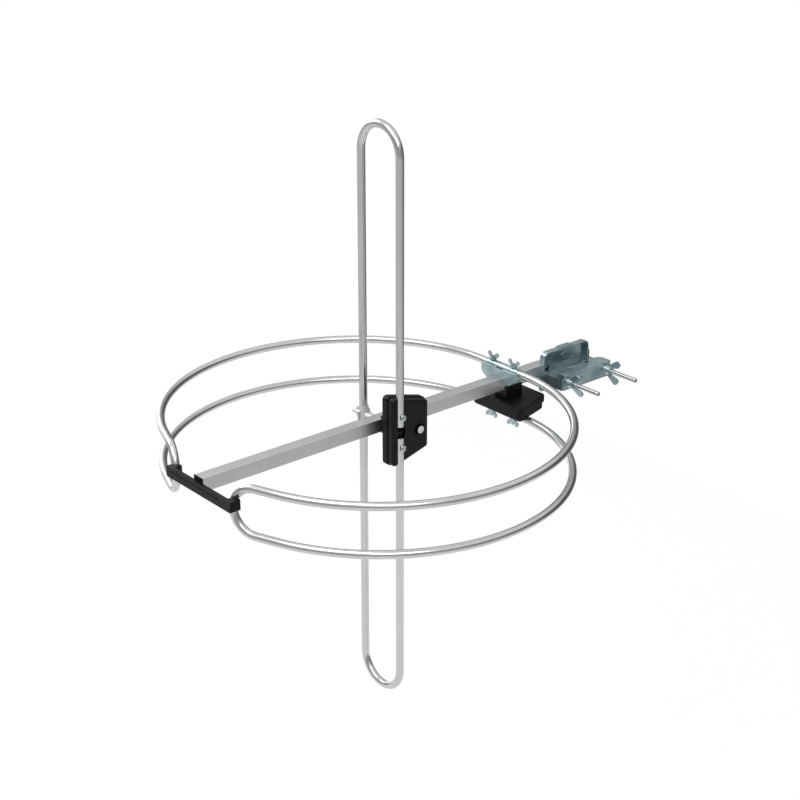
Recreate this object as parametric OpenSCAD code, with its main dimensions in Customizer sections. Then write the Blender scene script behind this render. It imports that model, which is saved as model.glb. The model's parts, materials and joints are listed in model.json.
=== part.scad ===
// Omnidirectional radio antenna for a mast: a folded ring dipole lying flat and a tall folded
// loop dipole standing up, both of round aluminium tube, carried by one square boom.
// Millimetres. Z is up and runs along the mast, X runs along the boom, and the origin is
// the axis of a mast held in the clamp, level with the middle of the boom.

/* [Dipole tubes] */
// Outside diameter of the round dipole tube, mm
tube_d = 10; // [8:0.5:14]
// Wall of the dipole tube, mm
tube_wall = 1; // [0.6:0.1:2]
// Radius of the two half circles of the ring, mm
ring_r = 231; // [150:1:300]
// Sideways shift of each half circle from the boom, mm
ring_shift = 27; // [10:1:60]
// How much tighter than the ring the blends at its flat back are bent, mm
ring_blend_step = 40; // [20:1:60]
// Straight length of tube before each end bend, mm
ring_nose_straight = 25.75; // [5:0.05:60]
// Distance between the upper and the lower turn of the ring, mm
ring_level_gap = 58.1; // [40:0.1:90]
// Height of the upper turn's axis over the boom's top face, mm
ring_over_boom = 9.9; // [8.5:0.1:16]
// Overall height of the standing loop along the tube's axis, mm
loop_height = 740.3; // [400:0.1:1200]
// Radius of the standing loop's end bends on the tube's axis, mm
loop_r = 34.75; // [28:0.05:50]
// Distance of the standing loop behind the middle of the ring, mm
loop_x = 24.1; // [-60:0.1:120]
// Height of the standing loop's middle below the boom's axis, mm
loop_drop = 1.5; // [0:0.1:3]
// Gap between the two tube ends in each feed box, mm
feed_gap = 15; // [10:0.5:24]

/* [Boom] */
// Outside width and height of the square boom tube, mm
boom_w = 17; // [14:0.5:24]
// Wall of the boom tube, mm
boom_wall = 1.4; // [1:0.1:2.5]
// Length of boom behind the mast's axis, mm
boom_tail = 46.5; // [42:0.5:80]
// Distance from the back of the ring to the mast's axis, mm
ring_to_mast = 103.06; // [80:0.02:220]

/* [Spreader] */
// Length of each end block of the nose spreader, mm
spreader_over = 20; // [18:0.5:26]
// Height of the spreader bar, mm
spreader_h = 12.7; // [9:0.1:18]
// Thickness of the spreader bar along the boom, mm
spreader_t = 5.5; // [4:0.1:9]

/* [Feed boxes] */
// Depth of a feed box base, mm
base_h = 9.5; // [8:0.1:14]
// Depth of a feed box cover, mm
cover_h = 10; // [9:0.1:14]
// Thickness of the seal between base and cover, mm
seal_t = 0.5; // [0.3:0.1:1]
// Half length of a base at its wide side, mm
base_half = 47; // [42:0.5:60]
// Half length of a base at its narrow side, mm
base_tip_half = 30.7; // [26:0.1:50]
// Reach of a base from the tube's axis to its narrow side, mm
base_reach = 48; // [44:0.5:70]
// Reach of a base from the tube's axis to its wide side, mm
base_lip = 13; // [12:0.5:18]
// Wall and floor of the moulded boxes, mm
box_wall = 2.2; // [1.6:0.1:2.8]
// Distance of the two tube screws from the middle of a box, mm
screw_offset = 20; // [16:0.5:26]
// Overlap of the box saddles on the sides of the boom, mm
saddle_lip = 4; // [2:0.5:7]
// Diameter of the screwed socket, mm
socket_d = 9.5; // [8:0.1:12]
// Length of socket that stands clear in its well, mm
socket_len = 9; // [6:0.5:10]

/* [Sheet metal clamps] */
// Thickness of the zinc plated sheet, mm
sheet_t = 1.5; // [1.2:0.1:2]
// Half width of the ring clamp across the boom, mm
ring_clamp_half = 31; // [29:0.5:42]
// Distance between the two walls of the ring clamp, mm
ring_clamp_depth = 20; // [18:0.5:40]
// Distance of the ring clamp bolts from the boom's axis, mm
ring_bolt_offset = 19; // [17:0.5:24]

/* [Mast clamp] */
// Radius of the mast the jaws are curved for, mm
mast_r = 22; // [18:0.5:24]
// Half width of the mast plate, mm
plate_half_w = 44; // [43.5:0.5:60]
// Half height of the mast plate, mm
plate_half_h = 28; // [24:0.5:45]
// Depth of the rim around the mast plate, mm
plate_rim = 7; // [4:0.5:7]
// Distance of each long clamp bolt from the mast's axis, mm
clamp_bolt_offset = 35; // [33:0.5:36]
// Distance from the boom's axis to the closed jaw's back face, mm
jaw_y = 50; // [44:0.5:60]
// Length of clamp bolt in front of the boom's axis, mm
clamp_bolt_reach = 105.5; // [90:0.5:125]

/* [Hidden] */
$fn = 48;
clearance = 0.3;
thread_gap = 0.05;
m4 = 4;
m5 = 5;
m6 = 6;
half_boom = boom_w / 2;
tube_r = tube_d / 2;
upper_z = half_boom + ring_over_boom;
lower_z = upper_z - ring_level_gap;
bend_r = ring_level_gap / 2;
turn_cos = 0.936;
turn_sin = 0.352;
turn_angle = asin(turn_sin);
blend_r = ring_r - ring_blend_step;
blend_x = ring_blend_step * turn_cos;
blend_y = ring_shift + ring_blend_step * turn_sin;
ring_back = blend_x + blend_r;
nose_run = ring_nose_straight + bend_r;
nose_x = -ring_r * turn_cos - nose_run * turn_sin;
nose_y = ring_shift + ring_r * turn_sin - nose_run * turn_cos;
boom_front = nose_x - 6.5;
mast_x = ring_back + ring_to_mast;
boom_back = mast_x + max(boom_tail, plate_half_w + 2.5);
boom_inner = boom_w - 2 * boom_wall;
axis_y = half_boom + 0.1 + sheet_t + plate_rim + 0.9 + mast_r;
loop_straight = loop_height / 2 - loop_r;
axis_d = base_h + seal_t + cover_h - 1.7;
cover_d0 = base_h + seal_t;
cover_d1 = cover_d0 + cover_h;
ring_standoff = -lower_z - half_boom - axis_d;
loop_standoff = loop_r - half_boom - axis_d;
box_slope = (base_half - base_tip_half) / (base_reach + base_lip);
box_k = sqrt(1 + box_slope * box_slope);
cover_reach = base_reach - 4;
cover_lip = base_lip - 1;
well_u = cover_reach - 14.5;
well_w = -4;
well_r = socket_d / 2 + 2.5;
socket_step = 0.6;
pocket_d = 3.4;
well_floor = axis_d + 4.7 - socket_len;
groove_floor = axis_d - tube_r - 0.1;
board_d = 5;
board_t = 1.6;
head4_h = 2.8;
head5_h = 3.5;
head6_h = 4;
nut4_h = 3.2;
strap_t = 0.8;
washer_t = 1;
web_z0 = half_boom + 0.1;
web_z1 = web_z0 + sheet_t;
plate_y0 = -half_boom - 0.1;
plate_y1 = plate_y0 - sheet_t;
arch_y = mast_r - axis_y;
shelf_z = 1.2;
clamp_bolt_z = shelf_z - sheet_t - 0.3 - m6 / 2;
jaw_z0 = -14;
jaw_z1 = 7;
jaw_reach = 19;
jaw_half = plate_half_w - 0.5;
plate_left = plate_half_w + 1.5;
plate_right = plate_half_w - 6.7;
jaw_arc_y = jaw_y - 27;
leg_saddle_t = 1.5;
spacer_end = loop_r - tube_r - 0.1 - leg_saddle_t;
spacer_r = 6;
alu = [0.80, 0.81, 0.82];
zinc = [0.62, 0.67, 0.69];
steel = [0.70, 0.70, 0.72];
black = [0.12, 0.12, 0.13];
brass = [0.78, 0.62, 0.30];
white = [0.93, 0.93, 0.90];
green = [0.20, 0.42, 0.26];

// Places a shape drawn from the middle of the ring on the boom's axis into the mast's frame.
module on_boom() {
    translate([-mast_x, axis_y, 0]) children();
}

// Stands a flat outline drawn in Y and Z up across the boom, its thickness along X.
module across_boom(thickness) {
    rotate([90, 0, 90]) linear_extrude(thickness) children();
}

// Stands a flat outline drawn in X and Z up along the boom, its thickness towards -Y.
module along_boom(thickness) {
    rotate([90, 0, 0]) linear_extrude(thickness) children();
}

function arc_points(cx, cy, r, a0, a1, n) =
    [for (i = [0:n]) [cx + r * cos(a0 + (a1 - a0) * i / n), cy + r * sin(a0 + (a1 - a0) * i / n)]];

module rounded_plate(x0, x1, y0, y1, r) {
    polygon(concat(arc_points(x0 + r, y0 + r, r, 180, 270, 6), arc_points(x1 - r, y0 + r, r, 270, 360, 6),
        arc_points(x1 - r, y1 - r, r, 0, 90, 6), arc_points(x0 + r, y1 - r, r, 90, 180, 6)));
}

module tube_section(grow) {
    difference() {
        circle(r = tube_r + grow, $fn = 24);
        if (grow == 0) circle(r = tube_r - tube_wall, $fn = 24);
    }
}

module tube_arc(r, start, sweep, grow = 0) {
    rotate([0, 0, start]) rotate_extrude(angle = sweep, $fn = 48) translate([r, 0]) tube_section(grow);
}

// The part of a full turn of tube that lies over a flat wedge drawn from the turn's centre.
module tube_wedge(r, points) {
    intersection() {
        rotate_extrude($fn = 96) translate([r, 0]) tube_section(0);
        translate([0, 0, -tube_d]) linear_extrude(2 * tube_d) polygon(points);
    }
}

module tube_run(length, grow = 0) {
    linear_extrude(length) tube_section(grow);
}

// Boom and the pieces pushed into its ends.
module boom() {
    color(alu) on_boom() difference() {
        translate([boom_front, -half_boom, -half_boom]) cube([boom_back - boom_front, boom_w, boom_w]);
        translate([boom_front - 1, -boom_inner / 2, -boom_inner / 2])
            cube([boom_back - boom_front + 2, boom_inner, boom_inner]);
        translate([loop_x, half_boom + 1, -loop_drop]) rotate([90, 0, 0])
            cylinder(d = m5 + clearance, h = boom_w + 2);
        translate([ring_back, 0, -half_boom - 1]) cylinder(d = m4 + clearance, h = boom_w + 2);
        for (s = [-1, 1])
            translate([mast_x + s * clamp_bolt_offset, half_boom + 1, clamp_bolt_z]) rotate([90, 0, 0])
                cylinder(d = m6 + clearance, h = boom_w + 2);
    }
}

module boom_front_plug() {
    color(black) on_boom() difference() {
        union() {
            translate([boom_front - 1, -half_boom, -half_boom]) cube([1, boom_w, boom_w]);
            translate([boom_front - 0.5, -boom_inner / 2 + 0.1, -boom_inner / 2 + 0.1])
                cube([14.5, boom_inner - 0.2, boom_inner - 0.2]);
        }
        translate([boom_front - 2, 0, spreader_mid()]) rotate([0, 90, 0])
            cylinder(r = 3 + thread_gap, h = 12);
    }
}

module boom_rear_cap() {
    color(black) on_boom() {
        translate([boom_back, -half_boom, -half_boom]) cube([2, boom_w, boom_w]);
        translate([boom_back - 5, -boom_inner / 2 + 0.1, -boom_inner / 2 + 0.1])
            cube([5.5, boom_inner - 0.2, boom_inner - 0.2]);
    }
}

// Spreader bar across the nose of the boom. Its end blocks are cut to the bent tubes.
function spreader_mid() = 3.2 - spreader_h / 2;
function spreader_near() = nose_y + 12;
function spreader_far() = nose_y + 0.5;

module spreader_bar() {
    front = boom_front - 1 - spreader_t;
    bottom = spreader_mid() - spreader_h / 2;
    color(black) on_boom() difference() {
        union() {
            translate([front, -spreader_near(), bottom])
                cube([spreader_t, spreader_near() + spreader_far(), spreader_h]);
            for (y = [-spreader_near(), spreader_far() - spreader_over])
                translate([front, y, bottom]) cube([spreader_t + 9, spreader_over, spreader_h]);
            translate([front + 1, 0, spreader_mid()]) rotate([0, 90, 0]) cylinder(r = 3, h = spreader_t + 9);
        }
        for (s = [-1, 1]) nose_bend(s, 0.15);
        translate([front - 1, -nose_y + 9, bottom + spreader_h * 0.64])
            cube([1.8, 2 * nose_y - 18, 1.2]);
    }
}

// Sets a shape at the end of the large arc on one side, +X along the tube towards the nose.
module at_nose(s) {
    translate([-ring_r * turn_cos, s * (ring_shift + ring_r * turn_sin), (upper_z + lower_z) / 2])
        rotate([0, 0, 180 + s * (90 - turn_angle)]) children();
}

// The upright bend at the nose that joins the upper turn to the lower turn on one side.
module nose_bend(s, grow = 0) {
    at_nose(s) translate([ring_nose_straight, 0, 0]) rotate([90, 0, 0]) tube_arc(bend_r, -90, 180, grow);
}

// Large arc and blend of one half turn, drawn for the far side and mirrored for the near side.
module ring_turn() {
    reach = 400;
    translate([0, ring_shift, 0])
        tube_wedge(ring_r, [[0, 0], [reach * turn_cos, reach * turn_sin], [reach * turn_cos, reach],
            [-reach * turn_cos, reach], [-reach * turn_cos, reach * turn_sin]]);
    translate([blend_x, blend_y, 0])
        tube_wedge(blend_r, [[0, 0], [reach, 0], [reach * turn_cos, reach * turn_sin]]);
}

module ring_dipole() {
    color(alu) on_boom() difference() {
        union() {
            for (z = [lower_z, upper_z]) translate([0, 0, z]) {
                ring_turn();
                mirror([0, 1, 0]) ring_turn();
            }
            for (s = [-1, 1]) {
                nose_bend(s);
                for (z = [-bend_r, bend_r]) at_nose(s) translate([0, 0, z]) rotate([0, 90, 0])
                    tube_run(ring_nose_straight);
                translate([ring_back, s * feed_gap / 2, lower_z]) rotate([-s * 90, 0, 0])
                    tube_run(blend_y - feed_gap / 2);
            }
            translate([ring_back, blend_y, upper_z]) rotate([90, 0, 0]) tube_run(2 * blend_y);
        }
        for (s = [-1, 1]) {
            translate([ring_back, s * ring_bolt_offset, upper_z - 8]) cylinder(d = m4 + clearance, h = 16);
            translate([ring_back, s * screw_offset, lower_z - 8]) cylinder(d = m4 + clearance, h = 16);
        }
    }
}

module loop_dipole() {
    color(alu) on_boom() translate([loop_x, 0, -loop_drop]) difference() {
        union() {
            translate([0, loop_r, -loop_straight]) tube_run(2 * loop_straight);
            for (s = [-1, 1]) {
                translate([0, 0, s * loop_straight]) rotate([90, 0, 90])
                    tube_arc(loop_r, s > 0 ? 0 : 180, 180);
                translate([0, -loop_r, s > 0 ? feed_gap / 2 : -loop_straight])
                    tube_run(loop_straight - feed_gap / 2);
            }
        }
        translate([0, loop_r + 8, 0]) rotate([90, 0, 0]) cylinder(d = m5 + clearance, h = 16);
        for (s = [-1, 1])
            translate([0, -loop_r + 8, s * screw_offset]) rotate([90, 0, 0])
                cylinder(d = m4 + clearance, h = 16);
    }
}

// Wing nut: the hub stands on the plane z = 0 and the wings point along +Z.
module wing_nut(bolt_d, hub_r, hub_h, span, height, thick) {
    ear_r = span * 0.15;
    ear_x = span / 2 - ear_r;
    ear_z = height - ear_r;
    difference() {
        union() {
            cylinder(r1 = hub_r, r2 = hub_r * 0.82, h = hub_h);
            for (s = [-1, 1]) {
                translate([0, thick / 2, 0]) rotate([90, 0, 0]) linear_extrude(thick) {
                    polygon([[0, hub_h * 0.22], [s * hub_r * 0.95, hub_h * 0.22],
                        [s * (ear_x + ear_r * 0.9), ear_z - ear_r * 0.43],
                        [s * (ear_x - ear_r * 0.9), ear_z + ear_r * 0.43],
                        [s * hub_r * 0.62, hub_h * 0.96], [0, hub_h * 0.96]]);
                    translate([s * ear_x, ear_z]) circle(r = ear_r);
                }
            }
        }
        translate([0, 0, -1]) cylinder(r = bolt_d / 2 + thread_gap, h = height + 2);
    }
}

module small_wing_nut() {
    wing_nut(m4, 4.2, 5, 20, 10.5, 1.6);
}

// Ring clamp: a bent sheet that straddles the boom under the upper turn.
function ring_clamp_side() = [[half_boom + 0.1, web_z0], [half_boom + 0.1, half_boom - 7],
    [ring_clamp_half - 11.5, half_boom - 7], [ring_clamp_half - 2.5, half_boom - 1.5],
    [ring_clamp_half, half_boom + 2.5], [ring_clamp_half - 0.5, upper_z + 1.3]];

module ring_clamp_wall() {
    polygon(concat([for (p = ring_clamp_side()) [-p[0], p[1]]],
        [for (i = [5:-1:0]) ring_clamp_side()[i]]));
}

// The wall towards the mast stops at the web, without the parts that reach down the boom.
module ring_clamp_back_wall() {
    polygon([[-ring_clamp_half + 0.5, web_z0], [-ring_clamp_half, half_boom + 2.5],
        [-ring_clamp_half + 0.5, upper_z + 1.3], [ring_clamp_half - 0.5, upper_z + 1.3],
        [ring_clamp_half, half_boom + 2.5], [ring_clamp_half - 0.5, web_z0]]);
}

module ring_clamp_bracket() {
    inner = ring_clamp_depth / 2 - sheet_t;
    color(zinc) on_boom() translate([ring_back, 0, 0]) difference() {
        union() {
            translate([-ring_clamp_depth / 2, 0, 0]) across_boom(sheet_t) ring_clamp_wall();
            translate([inner, 0, 0]) across_boom(sheet_t) ring_clamp_back_wall();
            translate([-inner - 0.5, -ring_clamp_half, web_z0])
                cube([2 * inner + 1, 2 * ring_clamp_half, sheet_t]);
        }
        translate([0, 0, web_z0 - 1]) cylinder(d = m4 + clearance, h = 5);
        for (s = [-1, 1])
            translate([0, s * ring_bolt_offset, web_z0 - 1]) cylinder(d = m4 + clearance, h = 5);
    }
}

module ring_clamp_cradles() {
    inner = ring_clamp_depth / 2 - sheet_t;
    color(zinc) on_boom() for (s = [-1, 1]) difference() {
        translate([ring_back - inner, s > 0 ? 6 : 1 - ring_clamp_half, web_z1])
            cube([2 * inner, ring_clamp_half - 7, upper_z + 1 - web_z1]);
        translate([ring_back, 50, upper_z]) rotate([90, 0, 0]) cylinder(r = tube_r + 0.05, h = 100);
        translate([ring_back - tube_r, -50, upper_z]) cube([tube_d, 100, 5]);
        translate([ring_back, s * ring_bolt_offset, web_z1 - 1]) cylinder(d = m4 + clearance, h = 10);
    }
}

module ring_clamp_strap() {
    half = ring_bolt_offset + 9;
    color(zinc) on_boom() translate([ring_back, 0, upper_z]) difference() {
        translate([0, half, 0]) rotate([90, 0, 0]) cylinder(r = tube_r + 0.1 + strap_t, h = 2 * half);
        translate([0, half + 1, 0]) rotate([90, 0, 0]) cylinder(r = tube_r + 0.1, h = 2 * half + 2);
        translate([-10, -half - 1, -10]) cube([20, 2 * half + 2, 11]);
        translate([-1.2, -8, 0]) cube([2.4, 16, 10]);
        for (s = [-1, 1]) translate([0, s * ring_bolt_offset, 0]) cylinder(d = m4 + clearance, h = 10);
    }
}

function ring_nut_z() = upper_z + tube_r + 0.1 + strap_t + 0.05;

module ring_clamp_bolts() {
    color(steel) on_boom() for (s = [-1, 1]) translate([ring_back, s * ring_bolt_offset, 0]) {
        translate([0, 0, web_z0 - head4_h]) cylinder(d = 8.08, h = head4_h, $fn = 6);
        translate([0, 0, web_z0 - 1]) cylinder(d = m4, h = ring_nut_z() + 6.3 - web_z0);
    }
}

module ring_clamp_wing_nut(s) {
    color(zinc) on_boom() translate([ring_back, s * ring_bolt_offset, ring_nut_z()])
        rotate([0, 0, 90]) small_wing_nut();
}

module ring_clamp_wing_nut_left() {
    ring_clamp_wing_nut(1);
}

module ring_clamp_wing_nut_right() {
    ring_clamp_wing_nut(-1);
}

// Feed boxes. Each is drawn with x from the tube's axis to the narrow side, y along the tube
// and z outwards from the back of the base, and is then set on the boom.
module set_loop_box() {
    on_boom() translate([loop_x, -half_boom - loop_standoff, -loop_drop]) rotate([90, 0, 0]) children();
}

module set_ring_box() {
    on_boom() translate([ring_back, 0, -half_boom - ring_standoff]) rotate([180, 0, 0]) children();
}

function box_half(u) = base_half - box_slope * (u + base_lip);

module rounded_taper(u1, u2, h1, h2, r1, r2) {
    c1 = h1 - box_slope * r1 - r1 * box_k;
    c2 = h2 + box_slope * r2 - r2 * box_k;
    a = atan(1 / box_slope);
    polygon(concat(
        arc_points(u1 + r1, -c1, r1, -a, -180, 6), arc_points(u1 + r1, c1, r1, 180, a, 6),
        arc_points(u2 - r2, c2, r2, a, 0, 6), arc_points(u2 - r2, -c2, r2, 0, -a, 6)));
}

module base_outline() {
    rounded_taper(-base_lip, base_reach, base_half, base_tip_half, 8, 5);
}

module cover_outline(t) {
    rounded_taper(-cover_lip + t, cover_reach - t, box_half(-cover_lip + t) - (1.2 + t) * box_k,
        box_half(cover_reach - t) - (1.2 + t) * box_k, 7 - t, 5 - t);
}

module box_base(bolt_d) {
    difference() {
        union() {
            difference() {
                linear_extrude(base_h) base_outline();
                translate([0, 0, box_wall]) linear_extrude(base_h) cover_outline(box_wall);
            }
            for (s = [-1, 1]) {
                translate([0, s * screw_offset, box_wall - 0.5]) cylinder(r = 5, h = base_h - box_wall + 0.5);
                for (u = [16, 32])
                    translate([u, s * 17, box_wall - 0.5]) cylinder(r = 2.5, h = board_d - box_wall + 0.5);
            }
        }
        for (s = [-1, 1]) translate([0, s * screw_offset, -1]) {
            cylinder(d = m4 + clearance, h = base_h + 2);
            cylinder(d = 8.6, h = pocket_d + 1, $fn = 6);
        }
        translate([0, 0, -1]) cylinder(d = bolt_d + clearance, h = box_wall + 2);
    }
}

module box_seal() {
    translate([0, 0, base_h]) linear_extrude(seal_t) difference() {
        cover_outline(0.5);
        cover_outline(box_wall);
    }
}

module cover_profile() {
    side = cover_lip + 0.6;
    tip = cover_reach + 0.6;
    polygon([[-side, cover_d0], [-side, cover_d1 - 6.6], [-side + 6.6, cover_d1],
        [tip - 5.6, cover_d1], [tip, cover_d1 - 5.6], [tip, cover_d0]]);
    translate([-side + 6.6, cover_d1 - 6.6]) circle(r = 6.6);
    translate([tip - 5.6, cover_d1 - 5.6]) circle(r = 5.6);
}

module box_cover() {
    difference() {
        union() {
            difference() {
                intersection() {
                    translate([0, 0, cover_d0]) linear_extrude(cover_h) cover_outline(0);
                    translate([0, 60, 0]) rotate([90, 0, 0]) linear_extrude(120) cover_profile();
                }
                intersection() {
                    translate([0, 0, cover_d0 - 1]) linear_extrude(cover_h - 1.5) cover_outline(box_wall);
                    translate([tube_r + box_wall, -60, cover_d0 - 1]) cube([60, 120, cover_h]);
                }
            }
            translate([well_u, well_w, well_floor - 2])
                cylinder(r = well_r + 1.5, h = cover_d1 - 0.5 - well_floor + 2);
        }
        translate([0, 60, axis_d]) rotate([90, 0, 0]) cylinder(r = tube_r + 0.1, h = 120);
        translate([-tube_r - 0.1, -60, axis_d]) cube([tube_d + 0.2, 120, 5]);
        translate([tube_r - 1, -feed_gap / 2 + 1.5, groove_floor + 1]) cube([3, feed_gap - 3, 10]);
        for (s = [-1, 1]) translate([0, s * screw_offset, cover_d0 - 1]) cylinder(d = m4 + clearance, h = 9);
        translate([well_u, well_w, well_floor]) cylinder(r = well_r, h = 20);
        translate([well_u, well_w, well_floor - 4]) cylinder(d = socket_d - 1.4, h = 8);
    }
    translate([-tube_r - 0.6, -feed_gap / 2 + 1.2, cover_d0 + 1])
        cube([tube_d + 1.2, feed_gap / 2 - 0.6, 7.4]);
    translate([-tube_r - 0.5, feed_gap / 2 - 3.6, cover_d0 + 1]) cube([tube_d + 1, 1.2, 4.5]);
    translate([cover_reach - 1.5, -8.5, cover_d0]) cube([6.5, 3.5, 2]);
}

module box_board() {
    difference() {
        translate([12, -21, board_d]) cube([24, 42, board_t]);
        translate([well_u, well_w, board_d - 1]) cylinder(r = 2, h = 4);
    }
}

module box_transformer() {
    translate([14, 5, board_d + board_t]) difference() {
        cube([10, 13, 7]);
        for (y = [4, 9]) translate([-1, y, 3.5]) rotate([0, 90, 0]) cylinder(r = 1.4, h = 12);
    }
}

module box_terminals() {
    for (s = [-1, 1]) difference() {
        union() {
            translate([-4, s * screw_offset - 4, base_h]) cube([17.5, 8, seal_t]);
            translate([13, s * screw_offset - 4, board_d + board_t])
                cube([0.5, 4, base_h + seal_t - board_d - board_t]);
        }
        translate([0, s * screw_offset, base_h - 1]) cylinder(d = m4 + clearance, h = 3);
    }
}

module box_socket() {
    translate([well_u, well_w, 0]) difference() {
        union() {
            translate([0, 0, well_floor - 3.2]) cylinder(d = socket_d + 2.5, h = 1.2);
            translate([0, 0, well_floor - 2.5]) cylinder(d = socket_d - 1.5, h = 3);
            translate([0, 0, well_floor + socket_step]) cylinder(d = socket_d, h = socket_len - socket_step);
            translate([0, 0, well_floor]) cylinder(d = socket_d - 1.5, h = 1);
        }
        translate([0, 0, well_floor - 1]) cylinder(d = socket_d - 2.6, h = socket_len + 2);
        translate([0, 0, well_floor - 4]) cylinder(r = 1, h = 5);
    }
}

module box_socket_insert() {
    translate([well_u, well_w, well_floor - 1]) difference() {
        cylinder(d = socket_d - 2.7, h = socket_len + 0.2);
        translate([0, 0, -1]) cylinder(r = 0.6, h = socket_len + 4);
    }
}

// Block that keeps a box clear of the boom and grips the boom's sides. Shift sets it on the
// boom's middle when the box is not centred on it.
module box_saddle(standoff, u0, u1, shift, bolt_d) {
    difference() {
        union() {
            translate([u0, shift - half_boom - 2.5, -standoff]) cube([u1 - u0, boom_w + 5, standoff]);
            for (s = [-1, 1])
                translate([u0, shift + s * (half_boom + 1.3) - 1.2, -standoff - saddle_lip])
                    cube([u1 - u0, 2.4, saddle_lip + 1]);
        }
        translate([0, 0, -standoff - 1]) cylinder(d = bolt_d + clearance, h = standoff + 2);
    }
}

module ring_box_saddle() {
    color(black) set_ring_box() box_saddle(ring_standoff, -4, 24, 0, m4);
}

module ring_box_base() {
    color(black) set_ring_box() box_base(m4);
}

module ring_box_seal() {
    color(black) set_ring_box() box_seal();
}

module ring_box_cover() {
    color(black) set_ring_box() box_cover();
}

module ring_box_board() {
    color(green) set_ring_box() box_board();
}

module ring_box_transformer() {
    color(black) set_ring_box() box_transformer();
}

module ring_box_terminals() {
    color(brass) set_ring_box() box_terminals();
}

module ring_box_socket() {
    color(steel) set_ring_box() box_socket();
}

module ring_box_socket_insert() {
    color(white) set_ring_box() box_socket_insert();
}

function tube_front() = axis_d + tube_r;

module ring_box_bolts() {
    color(steel) set_ring_box() for (s = [-1, 1]) translate([0, s * screw_offset, 0]) {
        translate([0, 0, pocket_d - head4_h]) cylinder(d = 8.08, h = head4_h, $fn = 6);
        translate([0, 0, pocket_d - 1]) cylinder(d = m4, h = tube_front() + 10.5 - pocket_d);
    }
}

module ring_box_washers() {
    color(steel) set_ring_box() for (s = [-1, 1]) translate([0, s * screw_offset, tube_front()])
        difference() {
            cylinder(r = 4.5, h = washer_t);
            translate([0, 0, -1]) cylinder(d = m4 + clearance, h = washer_t + 2);
        }
}

module ring_box_wing_nut(s) {
    color(zinc) set_ring_box() translate([0, s * screw_offset, tube_front() + washer_t + 0.05])
        rotate([0, 0, 87]) small_wing_nut();
}

module ring_box_wing_nut_left() {
    ring_box_wing_nut(-1);
}

module ring_box_wing_nut_right() {
    ring_box_wing_nut(1);
}

// Bolt that ties the ring box, the boom and the ring clamp's web together.
module ring_box_boom_bolt() {
    length = box_wall + ring_standoff + boom_w + 0.1 + sheet_t + 2.5;
    color(steel) set_ring_box() {
        translate([0, 0, box_wall]) cylinder(d = 8.08, h = head4_h, $fn = 6);
        translate([0, 0, box_wall + 1 - length]) cylinder(d = m4, h = length);
    }
}

module ring_box_boom_nut() {
    color(steel) on_boom() translate([ring_back, 0, web_z1]) difference() {
        cylinder(d = 8.08, h = 2.2, $fn = 6);
        translate([0, 0, -1]) cylinder(r = m4 / 2 + thread_gap, h = 5);
    }
}

module loop_box_saddle() {
    color(black) set_loop_box() box_saddle(loop_standoff, -5, 26, loop_drop, m5);
}

module loop_box_base() {
    color(black) set_loop_box() box_base(m5);
}

module loop_box_seal() {
    color(black) set_loop_box() box_seal();
}

module loop_box_cover() {
    color(black) set_loop_box() box_cover();
}

module loop_box_board() {
    color(green) set_loop_box() box_board();
}

module loop_box_transformer() {
    color(black) set_loop_box() box_transformer();
}

module loop_box_terminals() {
    color(brass) set_loop_box() box_terminals();
}

module loop_box_socket() {
    color(steel) set_loop_box() box_socket();
}

module loop_box_socket_insert() {
    color(white) set_loop_box() box_socket_insert();
}

module loop_box_screws() {
    color(steel) set_loop_box() for (s = [-1, 1]) translate([0, s * screw_offset, 0]) difference() {
        union() {
            translate([0, 0, tube_front()]) cylinder(r = 4.3, h = 2.6);
            translate([0, 0, -1]) cylinder(d = m4, h = tube_front() + 2);
        }
        translate([-5, -0.5, tube_front() + 1.6]) cube([10, 1, 3]);
    }
}

module loop_box_nuts() {
    nut_d = pocket_d - nut4_h;
    color(steel) set_loop_box() for (s = [-1, 1]) translate([0, s * screw_offset, nut_d]) difference() {
        cylinder(d = 8.08, h = nut4_h, $fn = 6);
        translate([0, 0, -1]) cylinder(r = m4 / 2 + thread_gap, h = nut4_h + 2);
    }
}

// Clamp of the loop's far leg: spacer, eared saddle and one bolt through boom and loop box.
module set_leg_clamp() {
    on_boom() translate([loop_x, 0, -loop_drop]) rotate([-90, 0, 0]) children();
}

module leg_clamp_spacer() {
    color(alu) set_leg_clamp() difference() {
        translate([0, 0, half_boom]) cylinder(r = spacer_r, h = spacer_end - half_boom);
        translate([0, 0, half_boom - 1]) cylinder(d = m5 + clearance, h = spacer_end);
    }
}

module leg_clamp_saddle() {
    color(zinc) on_boom() translate([loop_x, loop_r, -loop_drop]) difference() {
        union() {
            translate([0, 0, -12.5]) cylinder(r = tube_r + 0.1 + leg_saddle_t, h = 25);
            for (z = [-12.5, 5.5]) translate([-9.7, -1.8, z]) cube([19.4, 1.5, 7]);
        }
        translate([0, 0, -13.5]) cylinder(r = tube_r + 0.1, h = 27);
        translate([-12, -0.3, -13.5]) cube([24, 12, 27]);
        rotate([90, 0, 0]) cylinder(d = m5 + clearance, h = 12);
    }
}

module leg_clamp_bolt() {
    color(steel) set_leg_clamp() {
        translate([0, 0, -half_boom - loop_standoff - box_wall - head5_h])
            cylinder(d = 9.24, h = head5_h, $fn = 6);
        translate([0, 0, -half_boom - loop_standoff - box_wall - 1])
            cylinder(d = m5, h = half_boom + loop_standoff + box_wall + 1 + loop_r + tube_r + 14);
    }
}

module leg_clamp_washer() {
    color(steel) set_leg_clamp() translate([0, 0, loop_r + tube_r]) difference() {
        cylinder(r = 5, h = washer_t);
        translate([0, 0, -1]) cylinder(d = m5 + clearance, h = washer_t + 2);
    }
}

module leg_clamp_wing_nut() {
    color(zinc) set_leg_clamp() translate([0, 0, loop_r + tube_r + washer_t + 0.05])
        rotate([0, 0, 29]) wing_nut(m5, 5.5, 6.5, 28, 13, 2.2);
}

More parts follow.
